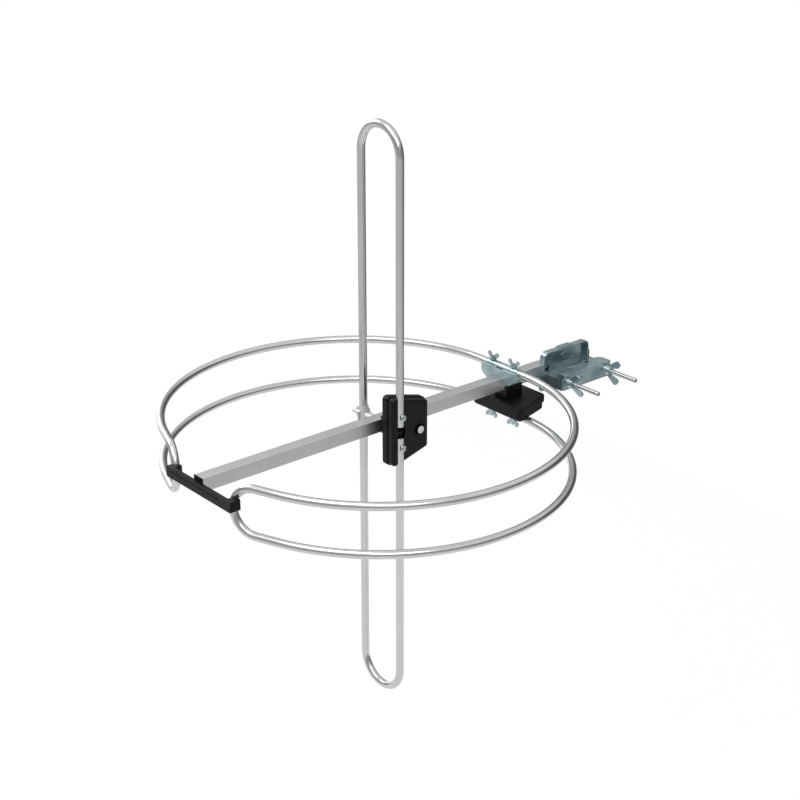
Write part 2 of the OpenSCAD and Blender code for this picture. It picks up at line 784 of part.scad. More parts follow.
// Mast bracket: a rimmed plate on the boom's near face with a shelf under it.
module mast_bracket() {
    rim_y = plate_y1 - plate_rim;
    color(zinc) on_boom() translate([mast_x, 0, 0]) difference() {
        union() {
            translate([0, plate_y0, 0]) along_boom(sheet_t) {
                rounded_plate(-plate_left, plate_half_w, -plate_half_h, 5, 4);
                rounded_plate(-plate_left, plate_right, -12, plate_half_h, 8);
            }
            translate([0, plate_y0, 0]) along_boom(plate_y0 - rim_y) difference() {
                rounded_plate(-plate_left, plate_right, -12, plate_half_h, 8);
                rounded_plate(-plate_left + sheet_t, plate_right - sheet_t, -plate_half_h - 20,
                    plate_half_h - sheet_t, 6.5);
                translate([-plate_left - 5, -40]) square([2 * plate_half_w + 10, 40.5]);
            }
            translate([-16.5, rim_y, plate_half_h - 0.5]) cube([22, plate_y0 - rim_y, 2.1]);
            translate([-2.5, plate_y1 - 0.8, 9]) cube([32, 1.8, 15]);
            translate([-plate_left, -jaw_y, shelf_z - sheet_t])
                cube([plate_left + plate_half_w, jaw_y + plate_y1 + 0.5, sheet_t]);
            for (x = [-plate_left, plate_half_w - sheet_t])
                translate([x, -jaw_y, jaw_z0])
                    cube([sheet_t, jaw_y + plate_y1 + 0.5, shelf_z - jaw_z0 - 0.1]);
        }
        translate([-clamp_bolt_offset + 2.5, -jaw_y - 1, shelf_z - 3])
            cube([2 * clamp_bolt_offset - 5, jaw_y + 1 + arch_y - 1, 6]);
        translate([0, -axis_y, -40]) cylinder(r = mast_r + 0.05, h = 80, $fn = 96);
        translate([plate_right - 6, plate_y1 - 1, 4]) cube([4, 1.8, 14]);
        translate([-6.2, plate_y1 - 1, 16.6]) rotate([-90, 0, 0]) cylinder(r = 2, h = 2);
        translate([-32.4, plate_y1 - 1, shelf_z]) cube([2.6, 5, 5.4]);
        for (s = [-1, 1])
            translate([s * clamp_bolt_offset, plate_y0 + 1, clamp_bolt_z]) rotate([90, 0, 0])
                cylinder(d = m6 + clearance, h = sheet_t + 2);
    }
}

module mast_bolts() {
    color(steel) on_boom() for (s = [-1, 1])
        translate([mast_x + s * clamp_bolt_offset, 0, clamp_bolt_z]) rotate([90, 0, 0]) {
            translate([0, 0, -half_boom - head6_h]) cylinder(d = 11.55, h = head6_h, $fn = 6);
            translate([0, 0, -half_boom - 1]) cylinder(d = m6, h = half_boom + 1 + clamp_bolt_reach);
        }
}

// One flange of the jaw with its curved seat for the mast.
module jaw_flange(half, r) {
    difference() {
        union() {
            rounded_plate(-half, half, -jaw_y - 1, -jaw_y + jaw_reach, r);
            translate([-half, -jaw_y - 1]) square([2 * half, r + 1]);
        }
        translate([0, -jaw_arc_y]) circle(r = mast_r, $fn = 96);
    }
}

module mast_jaw() {
    color(zinc) on_boom() translate([mast_x, 0, 0]) difference() {
        union() {
            translate([-jaw_half, -jaw_y - sheet_t, jaw_z0])
                cube([2 * jaw_half, sheet_t, jaw_z1 - jaw_z0]);
            translate([0, 0, jaw_z1 - sheet_t]) linear_extrude(sheet_t) jaw_flange(jaw_half, 8);
            translate([0, 0, jaw_z0]) linear_extrude(sheet_t) jaw_flange(plate_half_w - sheet_t - 0.5, 8);
        }
        for (s = [-1, 1])
            translate([s * clamp_bolt_offset, -jaw_y + 1, clamp_bolt_z]) rotate([90, 0, 0])
                cylinder(r = m6 / 2 + clearance, h = sheet_t + 2);
        translate([-10.8, -jaw_y + 1, -2.5]) rotate([90, 0, 0]) cylinder(r = 2.2, h = sheet_t + 2);
    }
}

module on_clamp_bolt(s) {
    on_boom() translate([mast_x + s * clamp_bolt_offset, -jaw_y - sheet_t, clamp_bolt_z])
        rotate([90, 0, 0]) children();
}

module mast_washers() {
    color(steel) for (s = [-1, 1]) on_clamp_bolt(s) difference() {
        cylinder(r = 6, h = washer_t + 0.6);
        translate([0, 0, -1]) cylinder(r = m6 / 2 + clearance, h = washer_t + 3);
    }
}

module mast_wing_nut(s, turn) {
    color(zinc) on_clamp_bolt(s) translate([0, 0, washer_t + 0.65]) rotate([0, 0, turn])
        wing_nut(m6, 6.5, 8, 32, 22, 2.6);
}

module mast_wing_nut_left() {
    mast_wing_nut(-1, 105);
}

module mast_wing_nut_right() {
    mast_wing_nut(1, 85);
}

boom();
boom_front_plug();
boom_rear_cap();
spreader_bar();
ring_dipole();
loop_dipole();
ring_clamp_bracket();
ring_clamp_cradles();
ring_clamp_strap();
ring_clamp_bolts();
ring_clamp_wing_nut_left();
ring_clamp_wing_nut_right();
ring_box_saddle();
ring_box_base();
ring_box_seal();
ring_box_cover();
ring_box_board();
ring_box_transformer();
ring_box_terminals();
ring_box_socket();
ring_box_socket_insert();
ring_box_bolts();
ring_box_washers();
ring_box_wing_nut_left();
ring_box_wing_nut_right();
ring_box_boom_bolt();
ring_box_boom_nut();
loop_box_saddle();
loop_box_base();
loop_box_seal();
loop_box_cover();
loop_box_board();
loop_box_transformer();
loop_box_terminals();
loop_box_socket();
loop_box_socket_insert();
loop_box_screws();
loop_box_nuts();
leg_clamp_spacer();
leg_clamp_saddle();
leg_clamp_bolt();
leg_clamp_washer();
leg_clamp_wing_nut();
mast_bracket();
mast_bolts();
mast_jaw();
mast_washers();
mast_wing_nut_left();
mast_wing_nut_right();
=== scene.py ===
import bpy
import bmesh
import json
import math
from mathutils import Vector, Matrix


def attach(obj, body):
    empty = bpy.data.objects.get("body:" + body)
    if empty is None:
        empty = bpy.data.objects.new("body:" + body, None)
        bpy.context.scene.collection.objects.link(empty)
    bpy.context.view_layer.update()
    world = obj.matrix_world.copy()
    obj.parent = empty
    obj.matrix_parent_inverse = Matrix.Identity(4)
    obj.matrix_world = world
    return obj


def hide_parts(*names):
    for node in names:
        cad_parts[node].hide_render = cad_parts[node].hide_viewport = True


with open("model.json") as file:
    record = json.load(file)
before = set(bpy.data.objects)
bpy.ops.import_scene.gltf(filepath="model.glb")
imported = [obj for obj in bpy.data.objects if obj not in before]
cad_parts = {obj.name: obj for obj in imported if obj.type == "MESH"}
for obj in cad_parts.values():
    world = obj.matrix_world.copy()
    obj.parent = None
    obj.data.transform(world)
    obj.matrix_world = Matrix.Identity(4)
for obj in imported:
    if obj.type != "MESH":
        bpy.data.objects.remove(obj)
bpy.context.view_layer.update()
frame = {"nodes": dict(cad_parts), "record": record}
nodes = frame["nodes"]
print("frame loaded:", len(nodes), "nodes")

mm = 0.001
ringCentre = Vector((-0.3315, 0.040, 0.0))   # middle of the ring on the boom's axis, in metres
weld = 0.00001   # corners closer than this are joined, in metres
mastX = 331.5   # the mast's axis from the ring's middle, in mm like all below
past = 1   # how far a cutter or a joined form reaches past a face
near = 0.1   # an edge this close to a face lies on it
parallel = 0.9   # an edge runs along an axis when that part of its direction is above this


# helpers for modelling

def deselectAll():
    if bpy.context.object and bpy.context.object.mode != "OBJECT":
        bpy.ops.object.mode_set(mode="OBJECT")
    bpy.ops.object.select_all(action="DESELECT")


def activate(piece):
    deselectAll()
    bpy.context.view_layer.objects.active = piece
    piece.select_set(True)


def namePiece(name):
    piece = bpy.context.object
    piece.name = name
    piece.data.name = name
    return piece


def settle(piece):
    activate(piece)
    bpy.ops.object.transform_apply(location=True, rotation=True, scale=True)
    return piece


def block(name, low, high):
    deselectAll()
    low, high = Vector(low) * mm, Vector(high) * mm
    bpy.ops.mesh.primitive_cube_add(size=1, location=(low + high) / 2)
    piece = namePiece(name)
    piece.scale = high - low
    return settle(piece)


def barrel(name, radius, start, end, sides=48, topRadius=None):
    deselectAll()
    start, end = Vector(start) * mm, Vector(end) * mm
    along = end - start
    top = radius if topRadius is None else topRadius
    bpy.ops.mesh.primitive_cone_add(vertices=sides, radius1=radius * mm, radius2=top * mm,
                                    depth=along.length, location=(start + end) / 2,
                                    rotation=along.to_track_quat("Z", "Y").to_euler())
    return settle(namePiece(name))


def pickEdges(piece, test):
    # test is given the middle of an edge and its direction
    activate(piece)
    bpy.ops.object.mode_set(mode="EDIT")
    bpy.ops.mesh.select_mode(type="EDGE")
    bpy.ops.mesh.select_all(action="DESELECT")
    mesh = bmesh.from_edit_mesh(piece.data)
    for edge in mesh.edges:
        one, two = edge.verts[0].co / mm, edge.verts[1].co / mm
        edge.select = test((one + two) / 2, (two - one).normalized())
    mesh.select_flush_mode()
    bmesh.update_edit_mesh(piece.data)


def bevelPicked(radius, segments=4):
    bpy.ops.mesh.bevel(offset=radius * mm, segments=segments, affect="EDGES", profile=0.5)
    bpy.ops.object.mode_set(mode="OBJECT")


def moveCorners(piece, place):
    activate(piece)
    bpy.ops.object.mode_set(mode="EDIT")
    mesh = bmesh.from_edit_mesh(piece.data)
    for vert in mesh.verts:
        vert.co = Vector(place(vert.co / mm)) * mm
    bmesh.update_edit_mesh(piece.data)
    bpy.ops.object.mode_set(mode="OBJECT")


def modify(piece, kind, **settings):
    activate(piece)
    modifier = piece.modifiers.new(kind, kind)
    for key, value in settings.items():
        setattr(modifier, key, value)
    bpy.ops.object.modifier_apply(modifier=modifier.name)
    return piece


def combine(piece, other, operation):
    modify(piece, "BOOLEAN", operation=operation, object=other, solver="EXACT")
    bpy.data.objects.remove(other, do_unlink=True)


def cut(piece, *cutters):
    for cutter in cutters:
        combine(piece, cutter, "DIFFERENCE")


def fuse(piece, *others):
    for other in others:
        combine(piece, other, "UNION")


def join(pieces):
    activate(pieces[0])
    for other in pieces[1:]:
        other.select_set(True)
    bpy.ops.object.join()
    return pieces[0]


def smooth(piece, angle=32, flats=False):
    # flats keeps the large faces flat between their rounded edges
    activate(piece)
    bpy.ops.object.shade_smooth_by_angle(angle=math.radians(angle))
    if flats:
        modify(piece, "WEIGHTED_NORMAL", keep_sharp=True, weight=100)
    return piece


def soften(piece, width, segments=2, angle=35):
    modify(piece, "BEVEL", width=width * mm, segments=segments, limit_method="ANGLE",
           angle_limit=math.radians(angle))
    return smooth(piece, flats=True)


def plate(name, outline, place, thick):
    # a flat outline pushed to its thickness; place turns a point of the outline into x, y, z
    deselectAll()
    bpy.ops.mesh.primitive_circle_add(vertices=len(outline), radius=mm, fill_type="NGON")
    piece = namePiece(name)
    for vert, point in zip(piece.data.vertices, outline):
        vert.co = Vector(place(*point)) * mm
    bpy.ops.object.mode_set(mode="EDIT")
    bpy.ops.mesh.select_all(action="SELECT")
    bpy.ops.mesh.extrude_region_move(TRANSFORM_OT_translate={"value": Vector(thick) * mm})
    bpy.ops.mesh.select_all(action="SELECT")
    bpy.ops.mesh.normals_make_consistent(inside=False)
    bpy.ops.object.mode_set(mode="OBJECT")
    return piece


def rounded(low, high, bottom, top, radius, steps=6):
    # the outline of a rectangle with rounded corners
    corners = ((high - radius, top - radius, 0), (low + radius, top - radius, 90),
               (low + radius, bottom + radius, 180), (high - radius, bottom + radius, 270))
    points = []
    for x, y, start in corners:
        for step in range(steps + 1):
            angle = math.radians(start + 90 * step / steps)
            points.append((x + radius * math.cos(angle), y + radius * math.sin(angle)))
    return points


def axes(origin, first, second, third):
    # the matrix of a frame with its origin and the directions of its three axes
    columns = (Vector(first), Vector(second), Vector(third), Vector(origin) * mm)
    return Matrix([[column[row] for column in columns] for row in range(3)] + [[0, 0, 0, 1]])


def shift(x, y, z):
    return Matrix.Translation(Vector((x, y, z)) * mm)


def copyPiece(piece, name, matrix):
    twin = piece.copy()
    twin.data = piece.data.copy()
    bpy.context.collection.objects.link(twin)
    twin.name = name
    twin.data.name = name
    twin.data.transform(matrix)
    if matrix.determinant() < 0:
        twin.data.flip_normals()
    return twin


def moveTo(piece, name, matrix):
    twin = copyPiece(piece, name, matrix)
    bpy.data.objects.remove(piece, do_unlink=True)
    return twin


def ring(x, y, z):
    return (ringCentre.x / mm + x, ringCentre.y / mm + y, z)   # from the ring's middle


# materials

def grey(level):
    return (level, level, level)


class Signal:
    # an output of a shader node that can be added to and multiplied
    def __init__(self, wiring, socket):
        self.wiring, self.socket = wiring, socket

    def mathNode(self, operation, other):
        return self.wiring.node("ShaderNodeMath", {"operation": operation}, (self, other))

    def __add__(self, other):
        return self.mathNode("ADD", other)

    def __mul__(self, other):
        return self.mathNode("MULTIPLY", other)


class Wiring:
    # adds linked nodes to a material or to the world
    mixSockets = {"factor": 0, "low": 6, "high": 7, "color": 2}   # a mix node's places for colours

    def __init__(self, owner):
        owner.use_nodes = True
        self.tree = owner.node_tree

    def node(self, kind, settings, values, output=0):
        made = self.tree.nodes.new(kind)
        for key, value in settings.items():
            if key == "stops":
                ramp = made.color_ramp
                while len(ramp.elements) < len(value):
                    ramp.elements.new(0.5)
                for element, (place, tone) in zip(ramp.elements, value):
                    element.position, element.color = place, (*tone, 1)
            else:
                setattr(made, key, value)
        pairs = values.items() if isinstance(values, dict) else enumerate(values)
        for key, value in pairs:
            if isinstance(value, Signal):
                self.tree.links.new(value.socket, made.inputs[key])
            else:
                made.inputs[key].default_value = value
        return Signal(self, made.outputs[output])

    def ramp(self, factor, *stops):
        return self.node("ShaderNodeValToRGB", {"stops": stops}, [factor])

    def mix(self, factor, low, high):
        wide = lambda tone: tone if isinstance(tone, Signal) else (*tone, 1)
        at = self.mixSockets
        values = {at["factor"]: factor, at["low"]: wide(low), at["high"]: wide(high)}
        return self.node("ShaderNodeMix", {"data_type": "RGBA"}, values, at["color"])


class Finish(Wiring):
    # a material whose patterns follow the piece's own coordinates
    def __init__(self, name, color, roughness, metallic):
        self.material = bpy.data.materials.new(name)
        super().__init__(self.material)
        self.shader = self.tree.nodes["Principled BSDF"]
        self.shader.inputs["Base Color"].default_value = (*color, 1)
        self.shader.inputs["Roughness"].default_value = roughness
        self.shader.inputs["Metallic"].default_value = metallic
        self.place = self.node("ShaderNodeTexCoord", {}, {}, "Object")

    def noise(self, scale, detail=3, roughness=0.5, stretch=(1, 1, 1)):
        at = self.node("ShaderNodeMapping", {}, {"Vector": self.place, "Scale": stretch})
        return self.node("ShaderNodeTexNoise", {}, {"Vector": at, "Scale": scale, "Detail": detail,
                                                    "Roughness": roughness})

    def feed(self, socket, signal):
        self.tree.links.new(signal.socket, self.shader.inputs[socket])

    def tint(self, factor, low, high):
        self.feed("Base Color", self.mix(factor, low, high))

    def roughen(self, spread, lowest):
        self.feed("Roughness", spread + lowest)

    def bump(self, height, depth, strength):
        self.feed("Normal", self.node("ShaderNodeBump", {}, {"Height": height, "Distance": depth,
                                                             "Strength": strength}))


# in a look, clouds, grain and lines are the scales of patterns, share is a pattern's part in the
# colour, gloss is what it adds to the roughness, and lower is taken off the roughness for that

def satinTube():
    look = {"dark": (0.48, 0.49, 0.495), "bright": (0.64, 0.65, 0.655), "roughness": 0.2,
            "lower": 0.07, "clouds": 28, "cloudShare": 0.8, "cloudGloss": 0.08,
            "grain": 1100, "grainShare": 0.2, "grainGloss": 0.06, "depth": 0.00001, "relief": 0.25}
    finish = Finish("satinTube", look["bright"], look["roughness"], 1.0)
    cloud = finish.noise(look["clouds"])
    grain = finish.noise(look["grain"], 2)
    finish.tint(cloud * look["cloudShare"] + grain * look["grainShare"],
                look["dark"], look["bright"])
    finish.roughen(cloud * look["cloudGloss"] + grain * look["grainGloss"],
                   look["roughness"] - look["lower"])
    finish.bump(grain, look["depth"], look["relief"])
    return finish.material


def brushedBoom():
    look = {"dark": (0.47, 0.48, 0.49), "bright": (0.62, 0.63, 0.64), "roughness": 0.42,
            "lower": 0.07, "clouds": 25, "cloudShare": 0.5, "lines": 420,
            "lineStretch": (0.03, 1, 1), "lineShare": 0.5, "lineGloss": 0.14,
            "depth": 0.00003, "relief": 0.35}
    finish = Finish("brushedBoom", look["bright"], look["roughness"], 1.0)
    lines = finish.noise(look["lines"], 3, 0.6, look["lineStretch"])
    cloud = finish.noise(look["clouds"])
    finish.tint(lines * look["lineShare"] + cloud * look["cloudShare"],
                look["dark"], look["bright"])
    finish.roughen(lines * look["lineGloss"], look["roughness"] - look["lower"])
    finish.bump(lines, look["depth"], look["relief"])
    return finish.material


def bluePassivate():
    look = {"dark": (0.29, 0.37, 0.39), "bright": (0.43, 0.55, 0.575), "warm": (0.46, 0.46, 0.42),
            "metal": 0.86, "roughness": 0.25, "lower": 0.07, "clouds": 45, "cloudEdges": (0.3, 0.7),
            "cloudGloss": 0.08, "patches": 38, "patchEdges": (0.55, 0.75), "patchShare": 0.12,
            "grain": 900, "grainGloss": 0.06, "depth": 0.00001, "relief": 0.25}
    finish = Finish("bluePassivate", look["bright"], look["roughness"], look["metal"])
    fromTo = lambda signal, edges: finish.ramp(signal, (edges[0], grey(0)), (edges[1], grey(1)))
    cloud = finish.noise(look["clouds"])
    grain = finish.noise(look["grain"], 2)
    shade = finish.mix(fromTo(cloud, look["cloudEdges"]), look["dark"], look["bright"])
    patch = fromTo(finish.noise(look["patches"], 2), look["patchEdges"])
    finish.tint(patch * look["patchShare"], shade, look["warm"])
    finish.roughen(cloud * look["cloudGloss"] + grain * look["grainGloss"],
                   look["roughness"] - look["lower"])
    finish.bump(grain, look["depth"], look["relief"])
    return finish.material


def platedSteel():
    look = {"dark": (0.30, 0.32, 0.33), "bright": (0.58, 0.60, 0.61), "roughness": 0.25,
            "lower": 0.08, "clouds": 160, "cloudGloss": 0.15, "grain": 1400, "depth": 0.00002,
            "relief": 0.3}
    finish = Finish("platedSteel", look["bright"], look["roughness"], 1.0)
    cloud = finish.noise(look["clouds"], 3, 0.6)
    finish.tint(cloud, look["dark"], look["bright"])
    finish.roughen(cloud * look["cloudGloss"], look["roughness"] - look["lower"])
    finish.bump(finish.noise(look["grain"], 2), look["depth"], look["relief"])
    return finish.material


def mouldedBlack():
    look = {"dark": (0.001, 0.0017, 0.0022), "bright": (0.0034, 0.0048, 0.0058), "sheen": 0.18,
            "roughness": 0.42, "lower": 0.06, "clouds": 35, "cloudShare": 0.7, "grain": 1500,
            "grainShare": 0.3, "grainGloss": 0.12, "depth": 0.00003, "relief": 0.4}
    finish = Finish("mouldedBlack", look["bright"], look["roughness"], 0.0)
    finish.shader.inputs["Specular IOR Level"].default_value = look["sheen"]
    grain = finish.noise(look["grain"], 3, 0.55)
    cloud = finish.noise(look["clouds"])
    finish.tint(cloud * look["cloudShare"] + grain * look["grainShare"],
                look["dark"], look["bright"])
    finish.roughen(grain * look["grainGloss"], look["roughness"] - look["lower"])
    finish.bump(grain, look["depth"], look["relief"])
    return finish.material


# dark and bright colour, roughness, metallic, scale of the clouds, depth of the grain
plainLooks = {
    "seal_rubber": ("sealRubber", grey(0.004), grey(0.010), 0.7, 0, 300, 0.00003),
    "pale_zinc": ("paleZinc", (0.54, 0.545, 0.55), (0.74, 0.745, 0.75), 0.48, 0.8, 120, 0.00001),
    "nickel": ("nickel", (0.50, 0.50, 0.48), (0.74, 0.74, 0.72), 0.2, 1, 150, 0.00001),
    "brass": ("brass", (0.60, 0.42, 0.16), (0.80, 0.60, 0.26), 0.28, 1, 120, 0.00001),
    "white_plastic": ("whitePlastic", (0.70, 0.70, 0.66), (0.82, 0.82, 0.78), 0.4, 0, 90, 0.00002),
    "circuit_board": ("circuitBoard", (0.02, 0.08, 0.04), (0.03, 0.13, 0.06), 0.35, 0, 140,
                      0.00002),
    "ferrite": ("ferrite", (0.02, 0.02, 0.022), (0.045, 0.045, 0.05), 0.5, 0, 260, 0.00003),
}
plainForm = {"cloudGloss": 0.14, "lower": 0.07, "grainPerCloud": 6, "relief": 0.4}


def plain(name, dark, bright, roughness, metallic, scale, depth):
    finish = Finish(name, bright, roughness, metallic)
    cloud = finish.noise(scale, 3, 0.55)
    finish.tint(cloud, dark, bright)
    finish.roughen(cloud * plainForm["cloudGloss"], roughness - plainForm["lower"])
    finish.bump(finish.noise(scale * plainForm["grainPerCloud"], 2), depth, plainForm["relief"])
    return finish.material


finishes = {"aluminium": satinTube(), "boom": brushedBoom(), "zinc_plate": bluePassivate(),
            "steel": platedSteel(), "black_plastic": mouldedBlack()}
finishes.update((key, plain(*values)) for key, values in plainLooks.items())

slotOf = {sub["node"]: sub["material_slot"] for sub in frame["record"]["subparts"]}
ownLook = {"boom": "boom"}   # nodes that look different from their slot
ownLook.update((name, "pale_zinc") for name in nodes if name.startswith("leg_clamp"))
for nodeName, nodeObject in nodes.items():
    look = finishes[ownLook.get(nodeName, slotOf[nodeName])]
    for materialSlot in nodeObject.material_slots:
        materialSlot.material = look
    if not nodeObject.material_slots:
        nodeObject.data.materials.append(look)
print("materials made:", len(finishes))


def finishPiece(piece, body, slotName, replaced, look=None):
    piece.data.materials.clear()
    piece.data.materials.append(finishes[look or slotName])
    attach(piece, body)
    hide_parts(*replaced)


# bent tubes

class Bender:
    # draws a tube as it is bent: an open circle that is run out straight or spun round a centre
    def __init__(self, name, start, heading, radius, sides=32):
        deselectAll()
        self.at, self.heading = Vector(start) * mm, Vector(heading).normalized()
        bpy.ops.mesh.primitive_circle_add(vertices=sides, radius=radius * mm, location=self.at,
                                          rotation=self.heading.to_track_quat("Z", "Y").to_euler())
        self.piece = settle(namePiece(name))
        bpy.ops.object.mode_set(mode="EDIT")
        bpy.ops.mesh.select_mode(type="EDGE")
        bpy.ops.mesh.select_all(action="SELECT")

    def run(self, length):
        step = self.heading * (length * mm)
        bpy.ops.mesh.extrude_region_move(TRANSFORM_OT_translate={"value": step})
        self.at = self.at + step

    def bend(self, centre, axis, degrees, steps):
        centre, axis = Vector(centre) * mm, Vector(axis).normalized()
        turn = Matrix.Rotation(math.radians(degrees), 3, axis)
        bpy.ops.mesh.spin(steps=steps, angle=-math.radians(degrees), center=centre, axis=axis)
        self.at = centre + turn @ (self.at - centre)
        self.heading = turn @ self.heading

    def done(self, wall):
        bpy.ops.mesh.select_all(action="SELECT")
        bpy.ops.mesh.remove_doubles(threshold=weld)
        bpy.ops.mesh.normals_make_consistent(inside=False)
        bpy.ops.object.mode_set(mode="OBJECT")
        modify(self.piece, "SOLIDIFY", thickness=wall * mm, offset=-1)
        return smooth(self.piece, 40)


# shift: centre of each half turn from the boom; step, cos, sin and blendY: the tighter bends
# between the half turns and the straight rear tubes; gap: lower turn to upper turn
ringTube = {"radius": 5.0, "wall": 1.0, "shift": 27.0, "step": 40.0, "cos": 0.936, "sin": 0.352,
            "straight": 25.75, "gap": 58.1, "upper": 18.4, "feedGap": 15.0, "back": 228.44,
            "blendY": 41.08, "blendSteps": 10, "turnSteps": 70, "noseSteps": 36}


def bendRing():
    t = ringTube
    blend = math.degrees(math.asin(t["sin"]))
    half = 180 - 2 * blend
    lower, upper = t["upper"] - t["gap"], t["upper"]
    lead = t["blendY"] - t["feedGap"] / 2
    tool = Bender("ringTube", ring(t["back"], t["feedGap"] / 2, lower), (0, 1, 0), t["radius"])

    def blendBend(side, height, degrees):
        centre = ring(t["step"] * t["cos"], side * t["blendY"], height)
        tool.bend(centre, (0, 0, 1), degrees, t["blendSteps"])

    def halfTurn(side, height, degrees):
        tool.bend(ring(0, side * t["shift"], height), (0, 0, 1), degrees, t["turnSteps"])

    def noseBend(up):
        # from one turn to the other, between two straights
        way = Vector((0, 0, up))
        tool.run(t["straight"])
        tool.bend(tool.at / mm + way * (t["gap"] / 2), tool.heading.cross(way), 180, t["noseSteps"])
        tool.run(t["straight"])

    # far half of the lower turn
    tool.run(lead)
    blendBend(1, lower, blend)
    halfTurn(1, lower, half)
    noseBend(1)
    # upper turn: far half, across the boom, near half
    halfTurn(1, upper, -half)
    blendBend(1, upper, -blend)
    tool.run(2 * t["blendY"])
    blendBend(-1, upper, -blend)
    halfTurn(-1, upper, -half)
    noseBend(-1)
    # near half of the lower turn
    halfTurn(-1, lower, half)
    blendBend(-1, lower, blend)
    tool.run(lead)
    return tool.done(t["wall"])


loopTube = {"radius": 5.0, "wall": 1.0, "bend": 34.75, "straight": 335.4, "x": 24.1, "drop": 1.5,
            "feedGap": 15.0, "bendSteps": 40}


def bendLoop():
    t = loopTube
    half, gap, steps = t["straight"], t["feedGap"] / 2, t["bendSteps"]
    tool = Bender("loopTube", ring(t["x"], -t["bend"], gap - t["drop"]), (0, 0, 1), t["radius"])
    tool.run(half - gap)
    tool.bend(ring(t["x"], 0, half - t["drop"]), (1, 0, 0), -180, steps)
    tool.run(2 * half)
    tool.bend(ring(t["x"], 0, -half - t["drop"]), (1, 0, 0), -180, steps)
    tool.run(half - gap)
    return tool.done(t["wall"])


finishPiece(bendRing(), "antenna", "aluminium", ["ring_dipole"])
finishPiece(bendLoop(), "antenna", "aluminium", ["loop_dipole"])
print("tubes bent")

# boom and spreader

boomSize = {"half": 8.5, "front": -242.0, "back": 378.0, "edge": 0.9}


def makeBoom():
    half = boomSize["half"]
    piece = block("boomTube", ring(boomSize["front"], -half, -half),
                  ring(boomSize["back"], half, half))
    pickEdges(piece, lambda mid, way: abs(way.x) > parallel)
    bevelPicked(boomSize["edge"])
    return smooth(piece, 30, flats=True)


finishPiece(makeBoom(), "antenna", "aluminium", ["boom"], "boom")

spreaderBar = {"front": -248.5, "back": -243.0, "blockBack": -234.0, "near": -69.0, "far": 57.5,
               "block": 11, "bottom": -9.5, "top": 3.2, "edge": 0.5,
               "tubeX": -235.5, "tubeY": 57.0, "bore": 5.15, "boreReach": 20,
               "grooveHalf": 48, "grooveLow": -1.4, "grooveHigh": -0.2, "grooveDeep": 0.8,
               "spigot": 3, "spigotZ": -3, "spigotRoot": 0.5, "spigotLength": 6}


def makeSpreader():
    b = spreaderBar
    bar = block("spreader", ring(b["front"], b["near"], b["bottom"]),
                ring(b["back"], b["far"], b["top"]))
    for low in (b["near"], b["far"] - b["block"]):
        fuse(bar, block("endBlock", ring(b["back"] - past, low, b["bottom"]),
                        ring(b["blockBack"], low + b["block"], b["top"])))
    cut(bar, block("groove", ring(b["front"] - past, -b["grooveHalf"], b["grooveLow"]),
                   ring(b["front"] + b["grooveDeep"], b["grooveHalf"], b["grooveHigh"])))
    for side in (-1, 1):
        boreEnd = lambda z: ring(b["tubeX"], side * b["tubeY"], z)
        cut(bar, barrel("bore", b["bore"], boreEnd(-b["boreReach"]), boreEnd(b["boreReach"]), 40))
    fuse(bar, barrel("spigot", b["spigot"], ring(b["back"] - b["spigotRoot"], 0, b["spigotZ"]),
                     ring(b["back"] + b["spigotLength"], 0, b["spigotZ"]), 24))
    return soften(bar, b["edge"], segments=3)


finishPiece(makeSpreader(), "antenna", "black_plastic", ["spreader_bar"])
print("boom and spreader made")

# feed boxes, in their own frame: u along the taper, v across it, w out of the boom

feedBox = {"lip": 13, "reach": 48, "half": 47, "tipHalf": 30.7, "baseDepth": 9.5, "baseCorner": 8,
           "baseTipCorner": 5, "baseEdge": 1.6, "baseSoft": 0.4, "pocket": 4.3, "pocketDeep": 3.4,
           "coverLip": 12, "coverReach": 44, "coverBack": 10, "coverFront": 20, "coverInset": 1.24,
           "coverCorner": 7, "coverTipCorner": 3.2, "edge": 3.2, "coverSoft": 0.3,
           "tubeDepth": 18.3, "tubeWay": 5.15, "screw": 20, "wellU": 29.5, "wellV": -4,
           "wellRadius": 7.25, "wellFloor": 14, "ringLine": 9.6, "ringLineRadius": 0.4,
           "outside": 60, "above": 30, "loopFloor": -16.45, "ringFloor": -21.4}
coverForms = {"pit": ((3, -6, 14.3), (7, 6, 30)), "ledge": ((-5.5, -6.3, 11), (5.5, 0.7, 17.9)),
              "ledgeEdge": 0.9, "score": ((-6, -3.2, 17.3), (6, -2.6, 19)),
              "rib": ((-5.4, 3.9, 11), (5.4, 5.1, 15.5)), "latch": ((42.5, -8.5, 10), (49, -5, 12))}
loopPlace = axes(ring(loopTube["x"], feedBox["loopFloor"], -loopTube["drop"]),
                 (1, 0, 0), (0, 0, 1), (0, -1, 0))
ringPlace = axes(ring(ringTube["back"], 0, feedBox["ringFloor"]),
                 (1, 0, 0), (0, -1, 0), (0, 0, -1))


def taperBlock(name, low, high, halfLow, halfHigh, back, front, wideCorner, tipCorner):
    middle = (low + high) / 2

    def widen(at):
        return at.x, math.copysign(halfLow if at.x < middle else halfHigh, at.y), at.z

    piece = block(name, (low, -1, back), (high, 1, front))
    moveCorners(piece, widen)
    pickEdges(piece, lambda mid, way: abs(way.z) > parallel and mid.x < middle)
    bevelPicked(wideCorner, 7)
    pickEdges(piece, lambda mid, way: abs(way.z) > parallel and mid.x > high - near)
    bevelPicked(tipCorner, 6)
    return piece


